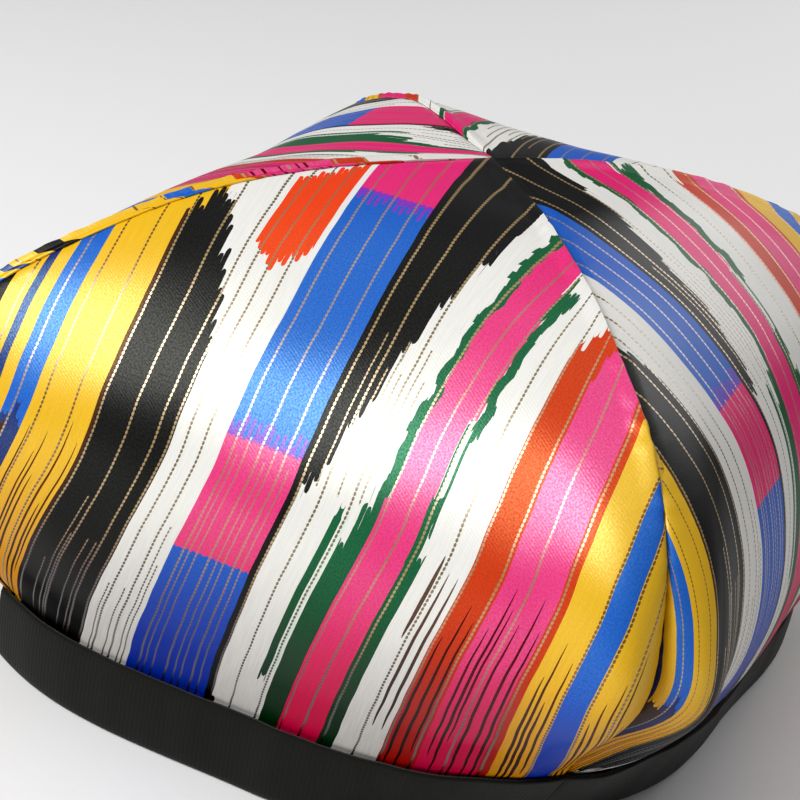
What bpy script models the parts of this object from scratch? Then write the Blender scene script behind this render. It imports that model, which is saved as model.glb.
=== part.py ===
# A four-cornered cap of striped satin: four gores that meet at a peak, over a black binding band.
# Metres, +Z up. The cap rests on its band at z = 0, and the front gore faces -Y.

import math
from collections import namedtuple

import bmesh
import bpy
from mathutils import Matrix, Vector

# Driving dimensions, in metres.
crown_rise = 0.105  # from the band's top edge up to the peak
corner_reach = 0.121  # from the axis out to the widest place of a corner ridge
side_reach = 0.089  # from the axis out to the widest place of a gore's middle
band_height = 0.0175  # the binding band as it shows outside
cloth_wall = 0.0018  # satin with its stiff backing
band_wall = 0.0013  # one layer of the binding
hem_depth = 0.0145  # how far a gore's hem reaches down inside the band
seam_gap = 0.0003  # between two gores at a seam
hem_gap = 0.0004  # between a hem and the band on each side of it
peak_hole = 0.0012  # radius left open where the four tips meet
fold_depth = 0.0115  # how deep the front right corner is tucked in along its seam
fold_reach = 0.011  # how far from that seam the tuck pulls the cloth in
fold_swell = 0.0035  # how far the cloth rolls out on each side of the tuck
foot_round = 0.0009  # rounding of the band's lower edges

# How finely the cloth is drawn.
gore_columns = 22
rows_per_section = 2
hem_rows = 2

gore_turn = math.radians(90)  # four equal gores
handle_share = 0.38  # how strongly a section's ends hold their direction
run_step = 0.02  # the stretch of stations over which a slope is taken

# One row for each level section, from the peak down to the band's top edge.
# height is a share of crown_rise, corner of corner_reach and side of side_reach.
# turn is how many degrees the outline has turned at the corner: 0 is a sharp ridge, 45 is round.
# tuck is the share of fold_depth there, and pull how far the corner follows its own row below.
Section = namedtuple("Section", "height corner side turn tuck pull")
sections = [
    Section(height=1.000, corner=0.000, side=0.000, turn=0, tuck=0.00, pull=0.0),
    Section(height=0.985, corner=0.310, side=0.300, turn=3, tuck=0.00, pull=0.0),
    Section(height=0.915, corner=0.570, side=0.540, turn=5, tuck=0.00, pull=0.0),
    Section(height=0.810, corner=0.780, side=0.730, turn=4, tuck=0.08, pull=0.0),
    Section(height=0.690, corner=0.925, side=0.875, turn=4, tuck=0.50, pull=0.0),
    Section(height=0.550, corner=0.995, side=0.965, turn=8, tuck=0.85, pull=0.0),
    Section(height=0.390, corner=1.000, side=1.000, turn=14, tuck=1.00, pull=0.0),
    Section(height=0.205, corner=0.940, side=0.975, turn=18, tuck=0.75, pull=0.3),
    Section(height=0.000, corner=0.835, side=0.900, turn=20, tuck=0.00, pull=1.0),
]

last_section = len(sections) - 1

# One row for each corner, counted from the front right one towards the back.
# rim and foot are shares of the plain corner's reach at the band's top edge and at the floor,
# rim_turn and foot_turn the degrees that the outline has turned there.
Corner = namedtuple("Corner", "name rim rim_turn foot foot_turn tuck")
corners = [
    Corner(name="front_right", rim=0.900, rim_turn=38, foot=0.780, foot_turn=45, tuck=1.0),
    Corner(name="back_right", rim=1.010, rim_turn=26, foot=1.010, foot_turn=28, tuck=0.0),
    Corner(name="back_left", rim=1.010, rim_turn=26, foot=1.010, foot_turn=28, tuck=0.0),
    Corner(name="front_left", rim=1.010, rim_turn=26, foot=1.015, foot_turn=28, tuck=0.0),
]

# One row for each gore, which lies between the corner of its own number and the next.
# middle is its direction in degrees round from +X, and foot the share of side_reach kept at the floor.
Gore = namedtuple("Gore", "name middle foot color")
gores = [
    Gore(name="gore_right", middle=0, foot=0.980, color=(0.80, 0.42, 0.03, 1.0)),
    Gore(name="gore_back", middle=90, foot=1.000, color=(0.70, 0.68, 0.62, 1.0)),
    Gore(name="gore_left", middle=180, foot=1.000, color=(0.03, 0.14, 0.62, 1.0)),
    Gore(name="gore_front", middle=270, foot=1.020, color=(0.78, 0.10, 0.30, 1.0)),
]
band_color = (0.012, 0.013, 0.012, 1.0)


def clear_scene():
    for item in list(bpy.data.objects):
        bpy.data.objects.remove(item, do_unlink=True)


def smooth_between(before, start, end, after, share):
    # A cubic through start and end whose slopes look at the values on both sides.
    slope_start = (end - before) / 2
    slope_end = (after - start) / 2
    rise = end - start
    curve = 3 * rise - 2 * slope_start - slope_end
    tail = slope_start + slope_end - 2 * rise
    return start + share * (slope_start + share * (curve + share * tail))


def section_at(station):
    # Station 0 is the peak, and each whole number is the next row of the table.
    index = min(int(station), last_section - 1)
    share = station - index
    rows = [sections[max(0, min(last_section, index + step))] for step in (-1, 0, 1, 2)]
    values = [smooth_between(*column, share) for column in zip(*rows)]
    return Section(*values)


# A rail holds what the outline needs at one level for its corner and for its side:
# radius and height at the corner, and at the middle of the side.
Rail = namedtuple("Rail", "corner_radius corner_height side_radius side_height turn tuck")


def crown_rail(station, corner):
    row = section_at(station)
    follow = 1 - row.pull * (1 - corner.rim)
    height = band_height + crown_rise * row.height
    return Rail(
        corner_radius=corner_reach * row.corner * follow,
        corner_height=height,
        side_radius=side_reach * row.side,
        side_height=height,
        turn=math.radians(row.turn + row.pull * (corner.rim_turn - row.turn)),
        tuck=max(0.0, row.tuck) * corner.tuck,
    )


def band_rail(height, gore, corner, inset):
    # The band's own outline at a height, moved inwards by inset.
    rim = sections[-1]
    share = height / band_height
    corner_share = corner.foot + (corner.rim - corner.foot) * share
    side_share = gore.foot + (1 - gore.foot) * share
    turn = math.radians(corner.foot_turn + (corner.rim_turn - corner.foot_turn) * share)
    corner_inset = inset / math.cos(gore_turn / 2 - turn)
    return Rail(
        corner_radius=corner_reach * rim.corner * corner_share - corner_inset,
        corner_height=height,
        side_radius=side_reach * rim.side * side_share - inset,
        side_height=height,
        turn=turn,
        tuck=0.0,
    )


def hem_rail(station, gore, corner, inset):
    # Past the last section the gore runs straight down inside the band as its hem.
    depth = hem_depth * (station - last_section)
    return band_rail(band_height - depth, gore, corner, band_wall + hem_gap + inset)


def gore_rail(station, gore, corner):
    if station >= last_section:
        return hem_rail(station, gore, corner, 0.0)
    rail = crown_rail(station, corner)
    # Near the band the crown draws in to meet the hem.
    near_rim = max(0.0, station - last_section + 1) ** 2
    drawn_in = near_rim * (band_wall + hem_gap)
    return rail._replace(
        corner_radius=rail.corner_radius - drawn_in / math.cos(gore_turn / 2 - rail.turn),
        side_radius=rail.side_radius - drawn_in,
    )


def run_between(above, below):
    # The directions down the corner and down the side's middle, as radius and height.
    corner_run = Vector((below.corner_radius, below.corner_height))
    corner_run -= Vector((above.corner_radius, above.corner_height))
    side_run = Vector((below.side_radius, below.side_height))
    side_run -= Vector((above.side_radius, above.side_height))
    return corner_run.normalized(), side_run.normalized()


def inner_rail(station, gore, corner):
    # The same cloth one wall further in, square to the outer face at the corner and at the side.
    if station >= last_section:
        return hem_rail(station, gore, corner, cloth_wall)
    rail = gore_rail(station, gore, corner)
    above = gore_rail(max(0.0, station - run_step), gore, corner)
    below = gore_rail(min(last_section, station + run_step), gore, corner)
    corner_run, side_run = run_between(above, below)
    # At a ridge the wall is measured across the corner, so it is longer along the seam.
    steepness = abs(corner_run.y)
    ridge_wall = cloth_wall * (1 + steepness * (1 / math.cos(gore_turn / 2 - rail.turn) - 1))
    return rail._replace(
        corner_radius=rail.corner_radius + ridge_wall * corner_run.y,
        corner_height=rail.corner_height - ridge_wall * corner_run.x,
        side_radius=rail.side_radius + cloth_wall * side_run.y,
        side_height=rail.side_height - cloth_wall * side_run.x,
    )


def outline_point(rail, share):
    # share 0 is the middle of the side and 1 is its corner; the side's middle lies on +X.
    end = Vector((math.cos(gore_turn / 2), math.sin(gore_turn / 2))) * rail.corner_radius
    start = Vector((rail.side_radius, 0.0))
    handle = (end - start).length * handle_share
    start_handle = start + Vector((0.0, handle))
    end_handle = end - Vector((-math.sin(rail.turn), math.cos(rail.turn))) * handle
    rest = 1 - share
    spot = rest**3 * start + 3 * rest**2 * share * start_handle
    spot += 3 * rest * share**2 * end_handle + share**3 * end
    rise = rail.corner_height - rail.side_height
    return Vector((spot.x, spot.y, rail.side_height + rise * share**2))


def tucked(point, tuck):
    # Two soft rolls of cloth meet in the tucked seam: on each side the cloth turns in by a quarter
    # circle, and swells out a little beside it.
    seam_side = Vector((-math.sin(gore_turn / 2), math.cos(gore_turn / 2), 0.0))
    outward = Vector((math.cos(gore_turn / 2), math.sin(gore_turn / 2), 0.0))
    distance = -point.dot(seam_side) / fold_reach
    nearness = max(0.0, 1 - distance)
    roll = 1 - math.sqrt(1 - nearness**2)
    swell = math.sin(min(distance / 2, 1.0) * math.pi) ** 2
    return point + outward * tuck * (fold_swell * swell - fold_depth * roll)


def apart(point, share, gap):
    # Keeps half the gap to the seam's own plane, and nothing at the middle of the side.
    seam_side = Vector((-math.sin(gore_turn / 2), math.cos(gore_turn / 2), 0.0))
    return point - seam_side * gap / 2 * share


def placed_point(gore, rails, column, gap):
    # rails are the outlines for the gore's first and second corner.
    along = -math.cos(math.pi * column / gore_columns)
    rail = rails[0] if along < 0 else rails[1]
    share = abs(along)
    point = apart(tucked(outline_point(rail, share), rail.tuck), share, gap)
    point.y = math.copysign(point.y, along)
    return Matrix.Rotation(math.radians(gore.middle), 3, "Z") @ point


def corners_of(gore):
    number = gores.index(gore)
    return corners[number], corners[(number + 1) % len(corners)]


def tip_station():
    # The station near the peak where the corner ridges are peak_hole out from the axis.
    low, high = 0.0, 1.0
    for _ in range(24):
        middle = (low + high) / 2
        if corner_reach * section_at(middle).corner < peak_hole:
            low = middle
        else:
            high = middle
    return high


def gore_stations():
    first = tip_station()
    steps = last_section * rows_per_section
    crown = [first + (last_section - first) * step / steps for step in range(steps)]
    hem = [last_section + step / hem_rows for step in range(hem_rows + 1)]
    return crown + hem


def cloth(name, color, roughness):
    material = bpy.data.materials.new(name)
    material.use_nodes = True
    shader = material.node_tree.nodes["Principled BSDF"]
    shader.inputs["Base Color"].default_value = color
    shader.inputs["Roughness"].default_value = roughness
    shader.inputs["Metallic"].default_value = 0.0
    return material


def finished(name, work, material):
    bmesh.ops.recalc_face_normals(work, faces=work.faces)
    mesh = bpy.data.meshes.new(name)
    work.to_mesh(mesh)
    work.free()
    mesh.materials.append(material)
    mesh.shade_smooth()
    mesh.set_sharp_from_angle(angle=math.radians(35))
    piece = bpy.data.objects.new(name, mesh)
    bpy.context.scene.collection.objects.link(piece)
    return piece


def skin(work, rows):
    # Faces between neighbouring rows of vertices.
    for upper, lower in zip(rows, rows[1:]):
        for left in range(len(upper) - 1):
            work.faces.new((upper[left], lower[left], lower[left + 1], upper[left + 1]))


def make_gore(gore):
    work = bmesh.new()
    layers = []
    for rail_of in (gore_rail, inner_rail):
        rows = []
        for station in gore_stations():
            rails = [rail_of(station, gore, corner) for corner in corners_of(gore)]
            row = [placed_point(gore, rails, column, seam_gap) for column in range(gore_columns + 1)]
            rows.append([work.verts.new(point) for point in row])
        skin(work, rows)
        layers.append(rows)
    outer, inner = layers
    edge_pairs = [
        (outer[0], inner[0]),
        (outer[-1], inner[-1]),
        ([row[0] for row in outer], [row[0] for row in inner]),
        ([row[-1] for row in outer], [row[-1] for row in inner]),
    ]
    for outer_edge, inner_edge in edge_pairs:
        skin(work, [outer_edge, inner_edge])
    return finished(gore.name, work, cloth(gore.name, gore.color, 0.32))


def band_profile():
    # The binding in section, as inset and height, from its outer top edge round under the hem.
    cavity = hem_gap + cloth_wall + hem_gap
    width = band_wall + cavity + band_wall
    # The walls have a level wherever the hems have one, so that their facets follow each other.
    levels = [band_height - hem_depth * step / hem_rows for step in range(hem_rows + 1)]
    outer_face = [(0.0, level) for level in levels]
    rounding = [
        (0.0, foot_round * 2),
        (foot_round * 0.3, foot_round * 0.6),
        (foot_round, 0.0),
    ]
    other_rounding = [(width - inset, height) for inset, height in reversed(rounding)]
    inner_face = [(width, level) for level in reversed(levels)]
    far_wall = [(width - band_wall, level) for level in levels]
    floor = [(width - band_wall, band_wall), (band_wall, band_wall)]
    near_wall = [(band_wall, level) for level in reversed(levels)]
    return outer_face + rounding + other_rounding + inner_face + far_wall + floor + near_wall


def make_band():
    work = bmesh.new()
    rings = []
    for inset, height in band_profile():
        ring = []
        for gore in gores:
            rails = [band_rail(height, gore, corner, inset) for corner in corners_of(gore)]
            for column in range(gore_columns):
                ring.append(work.verts.new(placed_point(gore, rails, column, 0.0)))
        rings.append(ring + ring[:1])
    skin(work, rings + rings[:1])
    return finished("band", work, cloth("band", band_color, 0.9))


clear_scene()
for gore in gores:
    make_gore(gore)
make_band()
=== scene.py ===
import math

import bmesh
import bpy
import numpy as np
from mathutils import Matrix, Vector


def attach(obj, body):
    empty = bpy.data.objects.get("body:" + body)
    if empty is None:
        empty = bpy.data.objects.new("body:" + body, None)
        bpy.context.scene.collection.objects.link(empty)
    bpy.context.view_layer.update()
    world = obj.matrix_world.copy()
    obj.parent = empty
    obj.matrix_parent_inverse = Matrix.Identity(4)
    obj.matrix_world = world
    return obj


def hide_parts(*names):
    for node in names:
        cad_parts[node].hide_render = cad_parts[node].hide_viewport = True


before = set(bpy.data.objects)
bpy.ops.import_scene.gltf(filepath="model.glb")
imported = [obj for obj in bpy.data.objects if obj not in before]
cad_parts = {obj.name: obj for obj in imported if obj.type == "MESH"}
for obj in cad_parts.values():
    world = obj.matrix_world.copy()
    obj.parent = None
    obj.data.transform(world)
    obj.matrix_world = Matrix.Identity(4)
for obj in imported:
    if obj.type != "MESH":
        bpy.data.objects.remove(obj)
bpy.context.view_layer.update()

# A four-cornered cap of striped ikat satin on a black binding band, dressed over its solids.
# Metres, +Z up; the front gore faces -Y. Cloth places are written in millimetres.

print("frame loaded")

scene = bpy.context.scene
mm = 0.001


def linearColor(hexColor):
    # one sRGB hex value to the linear colour that the shader takes
    parts = [int(hexColor[at:at + 2], 16) / 255 for at in (1, 3, 5)]
    return tuple(c / 12.92 if c <= 0.04045 else ((c + 0.055) / 1.055) ** 2.4 for c in parts) + (1.0,)


def fillInputs(tree, node, inputs):
    # links the results of other nodes and sets the plain values
    for socket, value in inputs.items():
        if isinstance(value, bpy.types.NodeSocket):
            tree.links.new(value, node.inputs[socket])
        else:
            node.inputs[socket].default_value = value


def addNode(tree, kind, inputs, out=0, **settings):
    made = tree.nodes.new("ShaderNode" + kind)
    for name, value in settings.items():
        setattr(made, name, value)
    fillInputs(tree, made, inputs)
    return made.outputs[out]


def newMaterial(name):
    material = bpy.data.materials.new(name)
    material.use_nodes = True
    tree = material.node_tree
    return material, tree, tree.nodes["Principled BSDF"]


mixed = {"out": 2, "data_type": "RGBA"}  # settings of a Mix node for colours
times = {**mixed, "blend_type": "MULTIPLY"}

# the cut of the cap, in metres from the middle of its foot
capCut = {
    "crownRise": 0.105,  # from the band's upper edge to the peak
    "cornerReach": 0.121,
    "sideReach": 0.089,
    "bandHeight": 0.0175,
    "bandWall": 0.0013,
    "hemDepth": 0.0145,
    "hemGap": 0.0004,
    "clothWall": 0.0016,
    "lapWall": 0.00045,  # a single ply, beside the second seam
    "peakHole": 0.0004,
    "seamGap": 0.00012,  # between the inner faces of two gores
    "foldDepth": 0.0115,
    "foldReach": 0.011,
    "foldSwell": 0.0035,
    "handleShare": 0.38,  # how full the curve between a side and a corner is
    # height, corner and side as shares, turn in degrees, tuck and pull, from the peak to the band
    "sections": [
        (1.000, 0.000, 0.000, 0, 0.00, 0.0),
        (0.985, 0.310, 0.300, 3, 0.00, 0.0),
        (0.915, 0.570, 0.540, 5, 0.00, 0.0),
        (0.810, 0.780, 0.730, 4, 0.08, 0.0),
        (0.690, 0.925, 0.875, 4, 0.50, 0.0),
        (0.550, 0.995, 0.965, 8, 0.85, 0.0),
        (0.390, 1.000, 1.000, 14, 1.00, 0.0),
        (0.205, 0.940, 0.975, 18, 0.75, 0.5),
        (0.000, 0.835, 0.900, 20, 0.00, 1.0),
    ],
    # rim, rim turn, foot, foot turn and tuck, from the front right corner towards the back
    "corners": [
        (0.850, 38, 0.745, 45, 1.0),
        (1.010, 26, 1.010, 28, 0.0),
        (1.010, 26, 1.010, 28, 0.0),
        (1.010, 26, 1.015, 28, 0.0),
    ],
    # name, direction of the middle in degrees, foot
    "gores": [
        ("right", 0, 0.950),
        ("back", 90, 1.000),
        ("left", 180, 1.000),
        ("front", 270, 1.020),
    ],
    "crownRows": 150,
    "hemRows": 5,
    "columns": 140,
}

lastSection = len(capCut["sections"]) - 1
seamSide = np.array([-math.sin(math.pi / 4), math.cos(math.pi / 4), 0.0])
outward = np.array([math.cos(math.pi / 4), math.sin(math.pi / 4), 0.0])


def sectionsAt(stations):
    # smooth values between the rows of the table
    table = np.array(capCut["sections"], float)
    index = np.minimum(stations.astype(int), lastSection - 1)
    share = (stations - index)[:, None]
    before, start, end, after = [table[np.clip(index + step, 0, lastSection)] for step in (-1, 0, 1, 2)]
    slopeStart, slopeEnd, rise = (end - before) / 2, (after - start) / 2, end - start
    curve, tail = 3 * rise - 2 * slopeStart - slopeEnd, slopeStart + slopeEnd - 2 * rise
    return start + share * (slopeStart + share * (curve + share * tail))


def rimAt(gore, corner, share, inset):
    # corner radius, side radius and turn at the band: share is 0 at its foot and 1 at its upper edge
    rim, rimTurn, foot, footTurn, _ = capCut["corners"][corner]
    goreFoot = capCut["gores"][gore][2]
    rimCorner, rimSide = capCut["sections"][-1][1:3]
    turn = np.radians(footTurn + (rimTurn - footTurn) * share)
    cornerRadius = capCut["cornerReach"] * rimCorner * (foot + (rim - foot) * share)
    cornerRadius = cornerRadius - inset / np.cos(math.pi / 4 - turn)
    sideRadius = capCut["sideReach"] * rimSide * (goreFoot + (1 - goreFoot) * share) - inset
    return cornerRadius, sideRadius, turn


def railsAt(stations, gore, corner):
    # radius and height at the corner and at the side's middle, turn and tuck, for each station
    rim, rimTurn, _, _, tuck = capCut["corners"][corner]
    row = sectionsAt(np.minimum(stations, lastSection))
    pull = row[:, 5]
    turn = np.radians(row[:, 3] + pull * (rimTurn - row[:, 3]))
    inset = capCut["bandWall"] + capCut["hemGap"]
    lowered = np.clip(stations - lastSection + 1, 0, 1) ** 2 * inset
    cornerRadius = capCut["cornerReach"] * row[:, 1] * (1 - pull * (1 - rim))
    cornerRadius -= lowered / np.cos(math.pi / 4 - turn)
    sideRadius = capCut["sideReach"] * row[:, 2] - lowered
    height = capCut["bandHeight"] + capCut["crownRise"] * row[:, 0]
    # past the last section the gore runs down inside the band as its hem
    hem = stations > lastSection
    down = capCut["bandHeight"] - capCut["hemDepth"] * (stations - lastSection)
    hemCorner, hemSide, hemTurn = rimAt(gore, corner, down / capCut["bandHeight"], inset)
    return {
        "cornerRadius": np.where(hem, hemCorner, cornerRadius),
        "sideRadius": np.where(hem, hemSide, sideRadius),
        "height": np.where(hem, down, height),
        "turn": np.where(hem, hemTurn, turn),
        "tuck": np.where(hem, 0.0, np.maximum(0, row[:, 4]) * tuck),
    }


def levelCurve(cornerRadius, sideRadius, turn, share):
    # places between the middle of a side and its corner, seen from above
    end = np.outer(cornerRadius, outward[:2])
    start = np.stack([sideRadius, 0 * sideRadius], 1)
    handle = np.linalg.norm(end - start, axis=1) * capCut["handleShare"]
    startHandle = start + np.stack([0 * handle, handle], 1)
    lean = np.stack([-np.sin(turn), np.cos(turn)], 1)
    endHandle = end - lean * handle[:, None]
    rest = 1 - share
    spot = rest**3 * start + 3 * rest**2 * share * startHandle
    return spot + 3 * rest * share**2 * endHandle + share**3 * end


def turned(points, degrees):
    # turns places about the cap's upright axis
    cos, sin = math.cos(math.radians(degrees)), math.sin(math.radians(degrees))
    return points @ np.array([[cos, -sin, 0], [sin, cos, 0], [0, 0, 1]]).T


def gorePoints(gore, stations, alongs):
    # the gore's outer face as a grid: along is -1 at its first corner, 0 in the middle, 1 at its second
    grid = np.zeros((len(stations), len(alongs), 3))
    sides = [railsAt(stations, gore, gore), railsAt(stations, gore, (gore + 1) % 4)]
    for column, along in enumerate(alongs):
        rail = sides[0] if along < 0 else sides[1]
        spot = levelCurve(rail["cornerRadius"], rail["sideRadius"], rail["turn"], abs(along))
        point = np.column_stack([spot, rail["height"]])
        distance = np.maximum(-(point @ seamSide) / capCut["foldReach"], 0)
        roll = 1 - np.sqrt(1 - np.maximum(0, 1 - distance) ** 2)
        swell = np.sin(np.minimum(distance / 2, 1) * math.pi) ** 2
        push = rail["tuck"] * (capCut["foldSwell"] * swell - capCut["foldDepth"] * roll)
        point += outward * push[:, None]
        if along < 0:
            point[:, 1] *= -1
        grid[:, column] = point
    return turned(grid, capCut["gores"][gore][1])


def lengthsAlong(grid, axis):
    # distance from the first row or column, measured on the cloth
    steps = np.linalg.norm(np.diff(grid, axis=axis), axis=2)
    start = np.zeros_like(np.take(steps, [0], axis=axis))
    return np.cumsum(np.concatenate([start, steps], axis=axis), axis=axis)


def outwardNormals(grid):
    across = np.gradient(grid, axis=1)
    down = np.gradient(grid, axis=0)
    normal = np.cross(down, across)
    return normal / np.maximum(np.linalg.norm(normal, axis=2, keepdims=True), 1e-12)


# How the striped cloth lies on each gore, in millimetres. Each row: place across the gore, the same
# place on the cloth's repeat, how far the stripes lean above the level line, where they begin to bend
# towards the left, and how much. Past bendReach they bend back, by shares near and far from the crease.
clothLie = {
    "front": {
        "level": 86,
        "rows": [
            (-60, -60, -0.0022, 110, 0.47),
            (-40.2, -40.2, -0.0030, 109, 0.465),
            (-23, -23, -0.0012, 105.5, 0.40),
            (-12, -12, -0.0012, 104, 0.36),
            (4.3, 4.3, -0.0011, 104, 0.31),
            (20, 20, 0.0005, 104, 0.32),
            (27, 27, 0.0022, 103, 0.34),
            (33, 33, 0.0022, 104, 0.325),
            (45, 45, 0.0003, 104, 0.31),
            (63, 63, -0.0025, 105, 0.27),
            (75, 75, -0.0015, 105, 0.25),
        ],
        "down": [(0, 0), (200, 200)],
    },
    "right": {
        "level": 60,
        "rows": [
            (-78.2, -61.5, 0.0, 77, 0.21),
            (-75.0, -56.0, 0.0, 77, 0.21),
            (-65.3, -40.5, 0.0, 74, 0.35),
            (-48.5, -23, 0.0, 84, 0.36),
            (-36.5, -12, 0.0015, 82, 0.33),
            (-20, 4.3, 0.0019, 84, 0.35),
            (2, 25, 0.0050, 66, 0.45),
            (12.8, 35.5, 0.0056, 66, 0.35),
            (24, 45, 0.0055, 70, 0.30),
            (42.5, 65, 0.0050, 70, 0.30),
        ],
        "down": [(0, 20.5), (73, 93.5), (95.5, 122), (163, 195)],
        "bendReach": 43,
        "bendBack": (1.35, 0.02, 0.85),
        "slip": (-300, -40.5, -42),
    },
    "back": {
        "level": 60,
        "rows": [
            (-17, -12, -0.0019, 100, 0.3),
            (-5, 3.5, -0.0019, 100, 0.3),
            (18, 25, -0.0019, 100, 0.3),
            (26, 35, -0.0019, 100, 0.3),
            (37, 45, -0.0019, 100, 0.3),
        ],
        "down": [(0, 52), (163, 215)],
    },
    "left": {
        "level": 38,
        "rows": [
            (-26, -12, -0.010, 48, 0.5),
            (-10, 4.3, -0.010, 48, 0.5),
            (0, 19.4, -0.004, 48, 0.5),
            (7.5, 23, -0.0085, 48, 0.5),
            (17, 33, -0.0140, 48, 0.5),
            (25, 44.4, -0.014, 48, 0.4),
            (27.5, 51, -0.012, 48, 0.3),
            (42, 65, -0.006, 48, 0.3),
        ],
        "down": [(0, 80), (163, 243)],
        "slip": (64.7, 300, -76),
    },
}


# where nothing else is stated, the stripes don't bend back and the cloth doesn't slip
plainLie = {"bendReach": 200, "bendBack": (0.0, 0.0, 0.0), "slip": (300, 300, 0)}

stripeBend = {
    "passes": 8,
    "soft": 9.0,  # the bend sets in over about this length, millimetres
    "backSoft": 8.0,
    "near": 1.4,  # share of the bend back at the crease, and its limit
    "nearMost": 1.5,
    "nearReach": 24,
}


def clothPlaces(name, across, down):
    # gore millimetres to cloth millimetres; the stripes lean and bend as they do on the cap
    lie = {**plainLie, **clothLie[name]}
    at, onCloth, lean, bendFrom, bend = np.array(lie["rows"], float).T
    back, quicker, farBack = lie["bendBack"]
    place = across.copy()
    for _ in range(stripeBend["passes"]):
        rise = np.minimum(down - lie["level"], 0) ** 2 * np.interp(place, at, lean)
        past = down - np.interp(place, at, bendFrom)
        past = (past + np.sqrt(past**2 + stripeBend["soft"] ** 2)) / 2
        over = past - lie["bendReach"]
        over = (over + np.sqrt(over**2 + stripeBend["backSoft"] ** 2)) / 2
        near = stripeBend["near"] - (place - at[0]) / stripeBend["nearReach"]
        near = np.clip(near, 0, stripeBend["nearMost"])
        past = past - over * ((back + quicker * over) * near + farBack * np.clip(1 - near, 0, 1))
        fall = np.interp(place, at, bend) * past
        place = 0.5 * place + 0.5 * (across - rise + fall)
    cloth = np.interp(place, at, onCloth)
    cloth += np.minimum(place - at[0], 0) + np.maximum(place - at[-1], 0)
    heights, rows = np.array(lie["down"], float).T
    row = np.interp(down, heights, rows)
    # past one stripe's edge another length of the cloth shows, as at the folded edges
    start, end, slip = lie["slip"]
    return cloth, row + np.where((cloth > start) & (cloth < end), slip, 0.0)


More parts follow.
